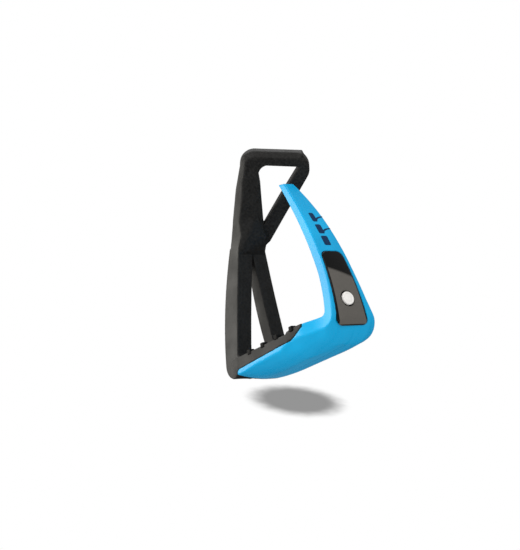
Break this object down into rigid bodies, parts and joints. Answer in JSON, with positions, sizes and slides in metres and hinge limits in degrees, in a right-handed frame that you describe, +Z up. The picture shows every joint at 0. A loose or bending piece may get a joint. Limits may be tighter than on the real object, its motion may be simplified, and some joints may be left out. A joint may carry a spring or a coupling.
{
  "type": "stirrup iron",
  "caption": "Safety stirrup iron with a rigid forked inner branch, a turned leather eye, a studded tread and a flexible free-ended outer branch.",
  "frame": {"origin": "on the resting plane under the tread, below the middle of the overall box", "axes": "+X from the horse side to the outer side, +Y from front to back, +Z up to the leather eye"},
  "size_m": [0.128, 0.055, 0.1723],
  "materials": {
    "black_composite": "fine-grained matt moulding",
    "grip_composite": "coarse matt grip",
    "stud_black": "satin",
    "blue_elastomer": "satin moulded elastomer",
    "cover_black": "gloss",
    "cap_white": "satin",
    "mark_navy": "satin",
    "steel": "turned",
    "spring_steel": "rolled",
    "brass": "turned"
  },
  "bodies": {
    "inner_branch": {"inner_branch": "black_composite", "hinge_pin": "steel", "pin_plug": "black_composite", "heel_buffer": "blue_elastomer"},
    "tread": {"tread_core": "black_composite", "tread_shell": "blue_elastomer", "grip_plate": "grip_composite", "grip_studs": "stud_black", "grip_screws": "steel", "tread_blade": "spring_steel", "blade_clamp": "spring_steel", "blade_rivets": "steel"},
    "outer_branch": {"branch_sleeve": "blue_elastomer", "branch_blade": "spring_steel", "branch_cover": "cover_black", "cover_screw": "steel", "cover_nut": "brass", "cover_cap": "cap_white", "grip_mark_upper": "mark_navy", "grip_mark_middle": "mark_navy", "grip_mark_lower": "mark_navy"}
  },
  "joints": [
    {"name": "tread_flex", "type": "hinge", "parent": "inner_branch", "child": "tread", "pos_m": [-0.0558, 0, 0.01], "axis": [0, 1, 0], "range_deg": [0, 8], "stiffness_Nm_per_rad": 60},
    {"name": "branch_release", "type": "hinge", "parent": "tread", "child": "outer_branch", "pos_m": [0.0505, 0, 0.0145], "axis": [0, 1, 0], "range_deg": [0, 30], "stiffness_Nm_per_rad": 4}
  ]
}
